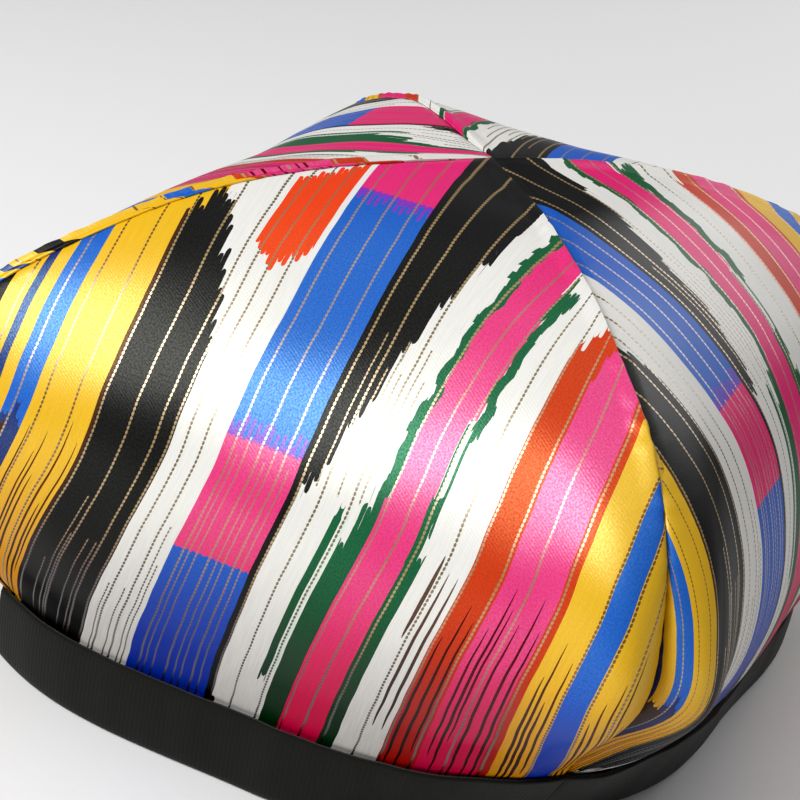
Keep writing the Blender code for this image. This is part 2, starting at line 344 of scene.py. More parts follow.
# the satin's pattern, in cloth millimetres: across the warp and down along it
ikat = {
    "acrossRepeat": (-76.0, 96.0),
    "downRepeat": (0.0, 200.0),
    "colors": {
        "yellow": "#E4B00A",
        "pink": "#E01A70",
        "blue": "#0A56BC",
        "green": "#0E5530",
        "white": "#E4E2DE",
        "black": "#0A0A0B",
        "orange": "#E83A06",
        "rust": "#C22E06",
        "purple": "#7A2CB4",
        "navy": "#0C1F66",
        "brown": "#3A1A08",
        "mint": "#CFE2D2",
    },
    # left, right and colour of each stripe, from one side of the repeat to the other
    "stripes": [
        (-76.0, -71.0, "black"),
        (-71.0, -66.3, "yellow"),
        (-66.3, -64.4, "navy"),
        (-64.4, -61.5, "yellow"),
        (-61.5, -55.8, "blue"),
        (-55.8, -40.5, "yellow"),
        (-12.0, 4.7, "blue"),
        (4.7, 6.5, "black"),
        (24.6, 33.0, "pink"),
        (45.0, 51.7, "rust"),
        (51.7, 62.6, "pink"),
        (62.6, 64.7, "rust"),
        (64.7, 71.7, "yellow"),
        (71.7, 76.4, "blue"),
        (76.4, 96.0, "yellow"),
    ],
    # left, right, top at the left and right, bottom at the left and right, colour, kind of edge
    "patches": [
        (-40.5, -35.4, -9, -9, 60, 60, "yellow", "sharp"),
        (-41.3, -40.5, 52, 52, 200, 200, "brown", "sharp"),
        # painted shade: the next two patches draw the blue stripe navy and the yellow brown low in the
        # tucked corner's crease; the brown also stands for the cloth's dark lines there
        (-61.5, -55.8, 106, 106, 199, 199, "navy", "comb"),
        (-66.3, -59.6, 108, 108, 199, 199, "brown", "comb"),
        (-40.5, -35.5, 53, 42, 190, 190, "black", "comb"),
        (-35.5, -22.8, 42, 78, 190, 186, "black", "comb"),
        (-25.0, -19.5, 33, 28, 54, 60, "orange", "short"),
        (-19.5, -13.3, 28, 20, 60, 54, "orange", "short"),
        (-12.0, 4.7, -9, -9, 34.0, 34.0, "purple", "teeth"),
        (-12.0, 4.7, -9, -9, 31.0, 31.0, "pink", "sharp"),
        (-12.0, 4.7, 93.5, 93.5, 122, 122, "purple", "teeth"),
        (-12.0, 4.7, 96.0, 96.0, 122, 122, "pink", "sharp"),
        (-12.0, 4.7, 121.8, 121.8, 150, 150, "blue", "sharp"),
        (-12.0, 4.7, 187, 187, 210, 210, "purple", "teeth"),
        (-12.0, 4.7, 190, 190, 210, 210, "pink", "sharp"),
        (6.5, 9.5, -9, -9, 105, 99, "black", "long"),
        (9.5, 12.5, -9, -9, 98, 80, "black", "long"),
        (12.5, 16.5, -9, -9, 80, 60, "black", "long"),
        (16.5, 19.6, -9, -9, 60, 36, "black", "long"),
        (19.6, 24.0, -9, -9, 26, 12, "black", "long"),
        (6.5, 24.0, 166, 192, 210, 210, "black", "long"),
        (23.2, 25.0, 28, 28, 82, 82, "green", "wavy"),
        (22.4, 24.6, 76, 76, 100, 100, "green", "wavy"),
        (23.6, 24.6, 97, 97, 200, 200, "pink", "sharp"),
        (18.6, 23.8, 108, 88, 176, 190, "green", "comb"),
        (15.3, 17.0, 104, 104, 149, 149, "green", "soft"),
        (17.4, 18.2, 104, 104, 146, 146, "mint", "soft"),
        (33.0, 34.4, 44, 44, 77, 77, "pink", "sharp"),
        (33.4, 38.2, 40, 44, 54, 48, "green", "comb"),
        (34.3, 36.4, 46, 46, 80, 80, "green", "wavy"),
        (33.1, 33.7, 78, 78, 98, 98, "green", "soft"),
        (34.6, 35.2, 78, 78, 100, 100, "green", "soft"),
        (32.6, 34.6, 94, 94, 108, 108, "green", "soft"),
        (32.8, 36.0, 104, 104, 182, 174, "green", "soft"),
        (45.0, 50.0, -9, -9, 57, 49, "white", "comb"),
        (50.0, 56.0, -9, -9, 49, 44, "white", "comb"),
        (51.7, 54.4, 40, 40, 61, 52, "rust", "soft"),
    ],
    # places of the metal threads across the repeat
    "metalThreads": [
        -67.6, -59.3, -53.3, -46.2, -40.1, -32.8, -26.4, -23.3, -19.9, -16.0, -9.6, -4.0, 1.3,
        6.2, 11.2, 17.6, 24.7, 29.4, 33.7, 40.3, 45.4, 51.0, 56.8, 63.2, 71.4, 76.8, 82.0,
    ],
    "threadHalfWidth": 0.27,
    "shortThreadShare": 0.72,  # their width beside the long ones
    "beadPitch": 1.0,
    # where short metal threads start and end along the warp, and their places across
    "shortThreads": [
        (95, 196, (-6.8, -0.9)),
        (99, 196, (-8.4, -2.3, 2.9)),
        (118, 196, (-34.4, -14.2)),
        (128, 196, (-33.4, -29.4, -27.4, -13.2)),
        (137, 196, (-20.8, -17.4, -36.2)),
        (66, 100, (9.5, 14.4, 19.2)),
        (73, 92, (12.9, 16.0, 21.0)),
    ],
    # dark strokes: where they start and end along the warp, half of their width, places across
    "strokes": [
        (103, 122, 0.42, (39.4,)),
        (106, 150, 0.34, (41.7, 43.7)),
        (104, 168, 0.30, (54.6, 60.2, -45.0)),
        (110, 172, 0.30, (48.4, 57.9, 61.9, 67.6)),
        (118, 166, 0.32, (46.4, 66.5, 79.2, -48.3)),
        (124, 170, 0.34, (68.7, 77.9, -43.4, 84.6)),
        (113, 156, 0.26, (50.2, 70.2, 81.0, 53.2, -50.6)),
        (108, 148, 0.24, (-53.9, -42.4, -49.6, 83.0, 55.6)),
    ],
    # which bundles make each kind of edge ragged, and by how much
    "edges": {
        "sharp": ("fine", 0.5),
        "short": ("rough", 3.5),
        "soft": ("rough", 6.0),
        "comb": ("rough", 9.0),
        "teeth": ("fine", 5.0),
        "long": ("rough", 14.0),
        "wavy": ("rough", 6.0),
    },
    "bundleWidth": 1.05,
    "fineWidth": 0.72,
    "tipLength": 1.1,  # each dyed bundle ends in a rounded tip
    "drift": 0.5,  # slow sideways wander of the threads
    "waver": 2.6,  # how far the green sides swing, and their steps
    "waverStep": 2.2,
    "waverOut": 0.7,
}

# how far each look goes: from, to, value at from, value at to
satinLooks = {
    "under": (0.014, 0.080, 0.0, 1.0),  # the first three by the height above the table, in metres
    # painted shade on the metal beads, by height
    "paintedShadeOnBeads": (0.040, 0.064, 0.0, 1.0),
    "dull": (0.032, 0.078, 0.04, 0.58),
    "paintedShadeGamma": (0.0, 1.0, 1.65, 1.0),  # painted shade: gamma and darkening of the dye towards the band, by "under"
    "paintedShadeDarkening": (0.0, 1.0, 0.78, 1.0),
    "facing": (0.24, 0.62, 1.0, 0.05),  # the gloss, by how far the cloth turns away
    "tarnished": (0.06, 0.42, 0.0, 1.0),  # this and the next three by how pale the dye is
    "paler": (0.1, 0.4, 0.04, 0.5),
    "cooler": (0.08, 0.18, 0.36, 0.6),
    "notWhite": (0.35, 0.6, 1.0, 0.1),
    "blueness": (0.04, 0.12, 0.0, 1.0),
    "streak": (0.3, 0.7, 0.95, 1.02),  # light and dark of the threads, and their glitter
    "spark": (0.3, 0.7, 0.45, 1.0),
}


def ikatSatin():
    # Warp-faced silk-look satin, woven with ikat-dyed warp and metal thread: glossy across the warp,
    # sharp stripe sides, comb-like ends where each dyed bundle stops at its own place.
    material, tree, shader = newMaterial("ikatSatin")
    dyes = {name: linearColor(dye) for name, dye in ikat["colors"].items()}
    looks = {name: dict(enumerate(look, 1)) for name, look in satinLooks.items()}
    low, high = ikat["acrossRepeat"]
    top, bottom = ikat["downRepeat"]
    place = addNode(tree, "UVMap", {}, uv_map="clothMillimetres")
    rawAcross, rawDown = addNode(tree, "SeparateXYZ", {0: place}).node.outputs[:2]

    def product(first, second):
        return addNode(tree, "Math", {0: first, 1: second}, operation="MULTIPLY")

    def slowNoise(value, pace):
        # noise along one direction, slow or quick by its pace for each millimetre
        inputs = {"W": product(value, pace), "Scale": 1.0, "Detail": 1.0}
        return addNode(tree, "TexNoise", inputs, noise_dimensions="1D")

    def clothNoise(acrossPace, downPace, detail):
        paced = {0: product(rawAcross, acrossPace), 1: product(rawDown, downPace)}
        inputs = {"Vector": addNode(tree, "CombineXYZ", paced), "Scale": 1.0, "Detail": detail}
        return addNode(tree, "TexNoise", inputs, noise_dimensions="2D")

    def numbered(value, width):
        # which bundle or step of this width a place is in
        turns = addNode(tree, "Math", {0: value, 1: width}, operation="DIVIDE")
        return addNode(tree, "Math", {0: turns}, operation="FLOOR")

    # slow sideways wander of the threads
    drift = {0: slowNoise(rawDown, 0.08), 1: ikat["drift"], 2: -ikat["drift"] / 2}
    drift = addNode(tree, "Math", drift, operation="MULTIPLY_ADD")
    across = addNode(tree, "Math", {0: rawAcross, 1: drift}, operation="ADD")
    across = addNode(tree, "Math", {0: across, 1: high, 2: low}, operation="WRAP")

    # each bundle of warp, about 1 mm wide, ends at its own place and with a rounded tip
    bundle = numbered(rawAcross, ikat["bundleWidth"])
    bundleEnd = addNode(tree, "TexWhiteNoise", {"W": bundle}, noise_dimensions="1D")
    inBundle = addNode(tree, "Math", {0: rawAcross, 1: ikat["bundleWidth"]}, operation="DIVIDE")
    inBundle = addNode(tree, "Math", {0: inBundle}, operation="FRACT")
    inBundle = addNode(tree, "Math", {0: inBundle, 1: 2.0, 2: -1.0}, operation="MULTIPLY_ADD")
    tip = addNode(tree, "Math", {0: inBundle, 1: 4.0}, operation="POWER")
    swellInputs = {"W": rawAcross, "Scale": 0.28, "Detail": 1.0}
    swell = addNode(tree, "TexNoise", swellInputs, noise_dimensions="1D")
    ragged = {0: bundleEnd, 1: 0.65, 2: product(swell, 0.35)}
    ragged = addNode(tree, "Math", ragged, operation="MULTIPLY_ADD")
    # finer bundles, every other one longer, for the teeth between two dyes
    fine = numbered(rawAcross, ikat["fineWidth"])
    fineEnd = addNode(tree, "TexWhiteNoise", {"W": fine}, noise_dimensions="1D")
    every = addNode(tree, "Math", {0: fine, 1: 2.0}, operation="FLOORED_MODULO")
    every = {0: every, 1: 0.6, 2: product(fineEnd, 0.4)}
    every = addNode(tree, "Math", every, operation="MULTIPLY_ADD")
    ends = {"fine": every, "rough": ragged}
    # slanting ends go down in steps, one to a bundle
    stepped = addNode(tree, "Math", {0: across, 1: ikat["bundleWidth"]}, operation="SNAP")
    stepped = addNode(tree, "Math", {0: stepped, 1: ikat["bundleWidth"] / 2}, operation="ADD")
    down = {}
    for kind, (end, reach) in ikat["edges"].items():
        for way, tipLength in (("start", -ikat["tipLength"]), ("end", ikat["tipLength"])):
            moved = {0: ends[end], 1: reach, 2: -reach / 2}
            moved = addNode(tree, "Math", moved, operation="MULTIPLY_ADD")
            moved = addNode(tree, "Math", {0: moved, 1: rawDown}, operation="ADD")
            if end == "rough":
                moved = addNode(tree, "Math", {0: tip, 1: tipLength, 2: moved}, operation="MULTIPLY_ADD")
            down[kind, way] = addNode(tree, "Math", {0: moved, 1: bottom, 2: top}, operation="WRAP")
    # the green sides waver in steps, as the bundles beside them start and stop
    stepOut = {"W": numbered(rawDown, ikat["waverStep"])}
    stepOut = addNode(tree, "TexWhiteNoise", stepOut, noise_dimensions="1D")
    wavy = {0: slowNoise(rawDown, 0.11), 1: ikat["waver"], 2: -ikat["waver"] / 2}
    wavy = addNode(tree, "Math", wavy, operation="MULTIPLY_ADD")
    wavy = addNode(tree, "Math", {0: wavy, 1: across}, operation="ADD")
    wavy = addNode(tree, "Math", {0: wavy, 1: ikat["waverOut"] / 2}, operation="SUBTRACT")
    wavy = addNode(tree, "Math", {0: stepOut, 1: ikat["waverOut"], 2: wavy}, operation="MULTIPLY_ADD")

    def within(value, start, end):
        span = {0: value, 1: (start + end) / 2, 2: (end - start) / 2}
        return addNode(tree, "Math", span, operation="COMPARE")

    def rounded(value):
        # 1 in the middle and 0 at -1 and 1, round like a bead
        fall = {0: 1.0, 1: product(value, value)}
        fall = addNode(tree, "Math", fall, operation="SUBTRACT", use_clamp=True)
        return addNode(tree, "Math", {0: fall}, operation="SQRT")

    def linesAt(start, spots, halfWidth):
        # adds a line at each place across the cloth to what is given
        for spot in spots:
            line = addNode(tree, "Math", {0: across, 1: spot, 2: halfWidth}, operation="COMPARE")
            start = addNode(tree, "Math", {0: start, 1: line}, operation="ADD", use_clamp=True)
        return start

    def pastLine(kind, left, right, atLeft, atRight, operation):
        # compares the place down the cloth with a slanting end that runs from atLeft to atRight
        slope = (atRight - atLeft) / (right - left)
        line = {0: stepped, 1: slope, 2: atLeft - slope * left}
        line = addNode(tree, "Math", line, operation="MULTIPLY_ADD")
        return addNode(tree, "Math", {0: down[kind], 1: line}, operation=operation)

    color = dyes["white"]
    for left, right, name in ikat["stripes"]:
        stripe = {0: within(across, left, right), 6: color, 7: dyes[name]}
        color = addNode(tree, "Mix", stripe, **mixed)
    for left, right, topLeft, topRight, bottomLeft, bottomRight, name, edge in ikat["patches"]:
        mask = within(wavy if edge == "wavy" else across, left, right)
        if topLeft == topRight and bottomLeft == bottomRight:
            mask = product(mask, within(down[edge, "end"], topLeft, bottomLeft))
        else:
            if max(topLeft, topRight) > top:
                line = pastLine((edge, "start"), left, right, topLeft, topRight, "GREATER_THAN")
                mask = product(mask, line)
            if min(bottomLeft, bottomRight) < bottom:
                line = pastLine((edge, "end"), left, right, bottomLeft, bottomRight, "LESS_THAN")
                mask = product(mask, line)
        color = addNode(tree, "Mix", {0: mask, 6: color, 7: dyes[name]}, **mixed)

    # dark strokes of stray dyed warp, tapering at both ends, in the ground's own darker tone
    strokes = 0.0
    for start, end, halfWidth, spots in ikat["strokes"]:
        along = {0: down["sharp", "end"], 1: 2 / (end - start), 2: -(end + start) / (end - start)}
        along = addNode(tree, "Math", along, operation="MULTIPLY_ADD")
        strokes = linesAt(strokes, spots, product(rounded(along), halfWidth))
    dark = addNode(tree, "Mix", {0: 1.0, 6: color, 7: linearColor("#6B4A3C")}, **times)
    dark = addNode(tree, "Mix", {0: 1.0, 6: dark, 7: color}, **times)
    color = addNode(tree, "Mix", {0: strokes, 6: color, 7: dark}, **mixed)

    # metal threads, seen as rows of round beads: gold on dark stripes, tarnished on light ones
    phase = addNode(tree, "Math", {0: rawDown, 1: ikat["beadPitch"]}, operation="DIVIDE")
    phase = addNode(tree, "Math", {0: phase}, operation="FRACT")
    phase = addNode(tree, "Math", {0: phase, 1: 2.2, 2: -1.1}, operation="MULTIPLY_ADD")
    beadHalf = product(rounded(phase), ikat["threadHalfWidth"])
    metal = linesAt(0.0, ikat["metalThreads"], beadHalf)
    beadHalf = product(beadHalf, ikat["shortThreadShare"])
    for start, end, spots in ikat["shortThreads"]:
        run = product(within(down["sharp", "end"], start, end), linesAt(0.0, spots, beadHalf))
        metal = addNode(tree, "Math", {0: metal, 1: run}, operation="ADD", use_clamp=True)
    ground = addNode(tree, "RGBToBW", {0: color})
    height = addNode(tree, "SeparateXYZ", {0: addNode(tree, "TexCoord", {}, out=3)}, out=2)
    tarnished = addNode(tree, "MapRange", {0: ground, **looks["tarnished"]})
    tarnish = addNode(tree, "Mix", {0: 1.0, 6: color, 7: linearColor("#8C7244")}, **times)
    gold = addNode(tree, "Mix", {0: 0.3, 6: linearColor("#CCA868"), 7: color}, **mixed)
    beadColor = addNode(tree, "Mix", {0: tarnished, 6: gold, 7: tarnish}, **mixed)
    # painted shade: the metal beads are drawn darker lower down, where the cap is in shade
    shadedBeadColor = addNode(tree, "Mix", {0: 1.0, 6: beadColor, 7: linearColor("#8A5A44")}, **times)
    paintedShadeOnBeads = addNode(tree, "MapRange", {0: height, **looks["paintedShadeOnBeads"]})
    beadColor = addNode(tree, "Mix", {0: paintedShadeOnBeads, 6: shadedBeadColor, 7: beadColor}, **mixed)
    color = addNode(tree, "Mix", {0: metal, 6: color, 7: beadColor}, **mixed)

    # slight light and dark from thread to thread
    streak = addNode(tree, "MapRange", {0: clothNoise(2.2, 0.12, 2.0), **looks["streak"]})
    color = addNode(tree, "Mix", {0: 1.0, 6: color, 7: streak}, **times)
    # painted shade: the cloth is drawn deeper in tone and darker towards the band, where it turns under
    # away from the lamps
    under = {0: height, **looks["under"]}
    under = addNode(tree, "MapRange", under, interpolation_type="SMOOTHSTEP")
    paintedShadeGamma = addNode(tree, "MapRange", {0: under, **looks["paintedShadeGamma"]})
    color = addNode(tree, "Gamma", {0: color, 1: paintedShadeGamma})
    paintedShadeDarkening = addNode(tree, "MapRange", {0: under, **looks["paintedShadeDarkening"]})
    color = addNode(tree, "Mix", {0: 1.0, 6: color, 7: paintedShadeDarkening}, **times)

    # the gloss is the dye's colour, paler and cooler on blue and pink, warm on yellow, weak on black
    glitter = clothNoise(2.6, 2.0, 1.0)
    dye = addNode(tree, "Gamma", {0: color, 1: 0.42})
    paler = addNode(tree, "MapRange", {0: ground, **looks["paler"]})
    warm = addNode(tree, "Mix", {0: paler, 6: dye, 7: linearColor("#F6FDC8")}, **mixed)
    cooler = addNode(tree, "MapRange", {0: ground, **looks["cooler"]})
    cool = addNode(tree, "Mix", {0: cooler, 6: dye, 7: linearColor("#C4F1FF")}, **mixed)
    blueness = addNode(tree, "SeparateColor", {0: color}, out=2)
    blueness = addNode(tree, "MapRange", {0: blueness, **looks["blueness"]})
    notWhite = addNode(tree, "MapRange", {0: ground, **looks["notWhite"]})
    tint = addNode(tree, "Mix", {0: product(blueness, notWhite), 6: warm, 7: cool}, **mixed)
    spark = addNode(tree, "MapRange", {0: glitter, **looks["spark"]})
    tint = addNode(tree, "Mix", {0: 1.0, 6: tint, 7: spark}, **times)
    # and it weakens towards the band and where the cloth turns away
    facing = addNode(tree, "LayerWeight", {0: 0.5}, out=1)
    facing = addNode(tree, "MapRange", {0: facing, **looks["facing"]})
    dull = addNode(tree, "MapRange", {0: height, **looks["dull"]})

    # twill lines of the satin weave, 0.6 mm apart, running down to the right
    slant = {0: product(rawAcross, 6.0), 1: product(rawDown, 8.6)}
    slant = addNode(tree, "Math", slant, operation="SUBTRACT")
    twill = addNode(tree, "Math", {0: slant}, operation="SINE")
    relief = addNode(tree, "Math", {0: twill, 1: 0.25, 2: glitter}, operation="MULTIPLY_ADD")
    relief = addNode(tree, "Math", {0: metal, 1: 1.6, 2: relief}, operation="MULTIPLY_ADD")
    fillInputs(tree, shader, {
        "Base Color": color,
        "Specular Tint": tint,
        "Specular IOR Level": product(facing, dull),
        "Normal": addNode(tree, "Bump", {"Strength": 0.07, "Distance": 0.0002, "Height": relief}),
        "Tangent": addNode(tree, "Tangent", {}, direction_type="UV_MAP", uv_map="clothMillimetres"),
        "Coat Weight": product(metal, 0.75),
        "Metallic": product(metal, 0.5),
        "Coat Roughness": 0.24,
        "Coat IOR": 2.0,
        "IOR": 2.5,
        "Roughness": 0.38,
        "Anisotropic": 0.55,
    })
    return material


def plainLining():
    # Bleached cotton sheeting, plain woven: matt, off-white, with a fine square grain.
    material, tree, shader = newMaterial("cottonLining")
    place = addNode(tree, "UVMap", {}, uv_map="clothMillimetres")
    # threads 0.6 mm apart, about twice the real spacing so that they show
    threads = {"Vector": place, "Scale": 1.7, "Distortion": 0.6}
    warp = addNode(tree, "TexWave", threads, out=1, bands_direction="X")
    weft = addNode(tree, "TexWave", threads, out=1, bands_direction="Y")
    cross = addNode(tree, "Math", {0: warp, 1: weft}, operation="ADD")
    slub = addNode(tree, "TexNoise", {"Vector": place, "Scale": 0.25, "Detail": 3.0})
    tone = {0: slub, 6: linearColor("#D9D3C4"), 7: linearColor("#EBE6DA")}
    tone = addNode(tree, "Mix", tone, **mixed)
    bump = addNode(tree, "Bump", {"Strength": 0.25, "Distance": 0.0002, "Height": cross})
    dressed = {"Base Color": tone, "Normal": bump, "Roughness": 0.9, "Sheen Weight": 0.2}
    fillInputs(tree, shader, dressed)
    return material


satin = ikatSatin()
lining = plainLining()
print("satin and lining woven")


# how the gores meet, in millimetres
seamLap = {
    "widths": [1.4, 1.4, 2.3, 0.7],  # how far each gore's folded edge lies over the next gore
    "lift": 0.7,  # how high it stands there
    "fadeIn": 5.0,  # how far back on its own gore the rise begins
    "steps": [0.15, 0.35, 0.55, 0.72, 0.86, 0.96, 1.0],  # shares of the width
    "rise": [1.0, 1.0, 0.98, 0.95, 0.86, 0.62, 0.30],
    "underShare": 0.35,  # height of the lap's underside, beside its upper face
    "sink": 1.1,  # how deep the gore under it is drawn in along the seam
    "sinkReach": 4.5,
    "plyFrom": 0.4,  # where the single ply beside the seam ends, and how soon the wall is whole
    "plyFade": 2.5,
    "pucker": 0.16,  # height of the small puckers that the stitches draw
    "puckerReach": 3.2,
    "puckerWaves": [(0.6, 1.25, 0.0), (0.4, 1.7, 1.0)],  # share, radians a millimetre, start
    "puckerFrom": 6,
    "puckerFade": 10,
    "puckerEnd": 0.3,  # stations above the band
    "peakFade": 12,
    "tuckFade": 0.45,
    "bandFade": 0.5,  # stations
}

# height in millimetres of each slow wave of the cloth, and the x, y, z and start of its two sines
unevenness = [
    (0.35, (0.085, 0.0, 0.06, 0.7), (0.0, 0.075, -0.05, 1.9)),
    (0.20, (0.17, -0.11, 0.0, 2.1), (0.05, 0.0, 0.16, 0.0)),
]
evenUpTo, unevenFade = 18, 14  # millimetres above the table; the cloth lies even at the band


def softened(points):
    # the cloth's own unevenness, the same for all that lies at one place
    radial = points * np.array([1, 1, 0.6])
    radial = radial / np.maximum(np.linalg.norm(radial, axis=-1, keepdims=True), 1e-9)
    spot = np.concatenate([points / mm, np.ones(points.shape[:-1] + (1,))], -1)
    wave = sum(
        high * np.sin(spot @ np.array(first)) * np.sin(spot @ np.array(second))
        for high, first, second in unevenness
    )
    steady = np.clip((spot[..., 2] - evenUpTo) / unevenFade, 0, 1)
    return points + radial * (wave * steady * mm)[..., None]


def gridMesh(name, layers, uvLayers, materials):
    # two layers of the same grid, joined round their edges into one closed shell
    rows, columns = layers[0].shape[:2]
    count = rows * columns
    points = np.concatenate([layer.reshape(-1, 3) for layer in layers])
    flat = np.concatenate([uv.reshape(-1, 2) for uv in uvLayers])
    index = np.arange(count).reshape(rows, columns)
    upLeft, downLeft, downRight, upRight = index[:-1, :-1], index[1:, :-1], index[1:, 1:], index[:-1, 1:]
    outer = np.stack([upLeft, downLeft, downRight, upRight], -1).reshape(-1, 4)
    inner = np.stack([upLeft, upRight, downRight, downLeft], -1).reshape(-1, 4) + count
    ring = np.concatenate([index[:-1, 0], index[-1, :-1], index[:0:-1, -1], index[0, :0:-1]])
    after = np.roll(ring, -1)
    edge = np.stack([ring, ring + count, after + count, after], -1)
    faces = np.concatenate([outer, inner, edge])
    mesh = bpy.data.meshes.new(name)
    mesh.from_pydata(points.tolist(), [], faces.tolist())
    uv = mesh.uv_layers.new(name="clothMillimetres")
    uv.data.foreach_set("uv", flat[faces.reshape(-1)].astype(np.float32).ravel())
    for material in materials:
        mesh.materials.append(material)
    slots = np.repeat([0, 1, 0], [len(outer), len(inner), len(edge)])
    mesh.polygons.foreach_set("material_index", slots)
    mesh.polygons.foreach_set("use_smooth", np.ones(len(faces), bool))
    mesh.validate()
    mesh.update()
    piece = bpy.data.objects.new(name, mesh)
    scene.collection.objects.link(piece)
    return piece


def tipStation():
    # where the gore's tip is just wide enough for the small hole at the peak
    low, high = 0.0, 1.0
    for _ in range(24):
        middle = (low + high) / 2
        reach = capCut["cornerReach"] * sectionsAt(np.array([middle]))[0, 1]
        low, high = (middle, high) if reach < capCut["peakHole"] else (low, middle)
    return high


crownStations = np.linspace(tipStation(), lastSection, capCut["crownRows"] + 1)
hemStations = lastSection + np.linspace(0, 1, capCut["hemRows"] + 1)[1:]
stations = np.concatenate([crownStations, hemStations])
alongs = -np.cos(np.linspace(0, math.pi, capCut["columns"] + 1))


def seamRoom(gore, corner, down):
    # 1 along a seam, fading out at the peak, in the tuck and inside the band
    tuck = railsAt(stations, gore, corner)["tuck"]
    room = np.clip(down / seamLap["peakFade"], 0, 1)
    room *= np.clip(1 - tuck / seamLap["tuckFade"], 0, 1)
    room *= np.clip((lastSection - stations) / seamLap["bandFade"] + 1, 0, 1)
    return room[:, None]


def drawnIn(grid, normals, fromSeam, room):
    # the gore under a lap rolls in towards the seam
    roll = np.clip(1 - fromSeam / seamLap["sinkReach"], 0, 1) ** 2
    return grid - normals * (roll * seamLap["sink"] * room * mm)[..., None]


def makeGore(number):
    name = capCut["gores"][number][0]
    own = gorePoints(number, stations, alongs)
    middleColumn = len(alongs) // 2
    down = lengthsAlong(own, 0)[:, middleColumn] / mm
    across = lengthsAlong(own, 1) / mm
    fromFirst = across.copy()
    across = across - across[:, middleColumn][:, None]
    normals = outwardNormals(own)
    toSecond = across[:, -1:] - across
    own = drawnIn(own, normals, fromFirst, seamRoom(number, number, down))
    # the stitches draw the cloth into small puckers beside both seams
    pucker = sum(high * np.sin(down * pace + start) for high, pace, start in seamLap["puckerWaves"])
    pucker *= np.clip((down - seamLap["puckerFrom"]) / seamLap["puckerFade"], 0, 1)
    pucker *= seamLap["pucker"] * (stations < lastSection - seamLap["puckerEnd"])
    beside = np.exp(-np.minimum(fromFirst, toSecond) / seamLap["puckerReach"])
    own = own + normals * (pucker[:, None] * beside * mm)[..., None]
    # the last stretch before the second seam rises to lie over the next gore
    following = (number + 1) % 4
    room = seamRoom(number, following, down)
    under = gorePoints(following, stations, -1 + np.linspace(0, 0.12, 40))
    underNormals = outwardNormals(under)
    reach = lengthsAlong(under, 1) / mm
    under = drawnIn(under, underNormals, reach, room)
    rise = np.clip(1 - toSecond / seamLap["fadeIn"], 0, 1)
    rise = rise * rise * (3 - 2 * rise) * seamLap["lift"] * room
    width = seamLap["widths"][number]
    lap = np.zeros((len(stations), len(seamLap["steps"]), 3))
    lapUnder = np.zeros_like(lap)
    for row in range(len(stations)):
        for step, (share, lift) in enumerate(zip(seamLap["steps"], seamLap["rise"])):
            at = share * width * room[row, 0]
            spot = np.array([np.interp(at, reach[row], under[row, :, axis]) for axis in range(3)])
            facing = np.array([np.interp(at, reach[row], underNormals[row, :, axis]) for axis in range(3)])
            high = seamLap["lift"] * lift * room[row, 0] * mm
            lap[row, step] = spot + facing * high
            lapUnder[row, step] = spot + facing * high * seamLap["underShare"]
    outer = np.concatenate([own + normals * rise[..., None] * mm, lap], 1)
    wide = np.concatenate([across, across[:, -1:] + np.array(seamLap["steps"])[None] * width * room], 1)
    # the inner face, a wall further in, thinning to a single ply under the lap
    whole = np.clip((toSecond - seamLap["plyFrom"]) / seamLap["plyFade"], 0, 1)
    wall = capCut["lapWall"] + whole * (capCut["clothWall"] - capCut["lapWall"])
    inner = own - normals * wall[..., None]
    for side in (-1, 1):
        plane = turned(seamSide * np.array([1, side, 1]), capCut["gores"][number][1])
        past = np.maximum(inner @ plane + capCut["seamGap"], 0)
        inner = inner - past[..., None] * plane
    innerAll = np.concatenate([inner, lapUnder], 1)
    outer, innerAll = softened(outer), softened(innerAll)
    cloth, clothDown = clothPlaces(name, wide, np.broadcast_to(down[:, None], wide.shape).copy())
    uv = np.stack([cloth, clothDown], -1)
    return gridMesh("satin_gore_" + name, [outer, innerAll], [uv, uv], [satin, lining])


for number, (name, _, _) in enumerate(capCut["gores"]):
    piece = makeGore(number)
    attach(piece, "root")
    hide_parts("gore_" + name)
print("gores sewn")


binding = {
    "segments": 180,  # round each gore
    "cavity": 0.0018,  # for the hems, between the two faces
    "cavityDrop": 0.0003,
    "cavityFloor": 0.0004,
    "edge": [(0.00045, 0.00015), (0.00010, 0.00005)],  # inset, and height past the band's
    "faceLevels": [0.97, 0.85, 0.7, 0.55, 0.4, 0.28, 0.2],
    "footRound": 0.0009,
    "foot": [(0.0, 2.0), (0.12, 1.2), (0.4, 0.5), (1.0, 0.0)],  # inset and height, in foot rounds
    "wander": 0.00022,  # how far the tape wanders, with its waves: height, waves a turn, start
    "wanderWaves": [(0.5, 17, 1.0), (0.35, 29, 2.2), (0.25, 53, 0.4)],
    "wanderFade": 0.25,
    "belly": 0.0005,  # how full the face is, and where that is level again
    "bellyTop": 1.15,
    "bellyFull": 3.2,
    "ride": 0.0045,  # how far the edge rides up, from which direction to which, in degrees
    "rideFrom": -64,
    "rideIn": 18,
    "rideTo": 2,
    "rideOut": 26,
}


def bandPoints(height, inset, alongsBand):
    # one level line of the band, all the way round
    ring = []
    share = np.array([height / capCut["bandHeight"]])
    for gore, (_, middle, _) in enumerate(capCut["gores"]):
        for along in alongsBand[:-1]:
            corner = gore if along < 0 else (gore + 1) % 4
            spot = levelCurve(*rimAt(gore, corner, share, inset), abs(along))[0]
            if along < 0:
                spot[1] *= -1
            ring.append(turned(np.append(spot, height), middle))
    return np.array(ring)


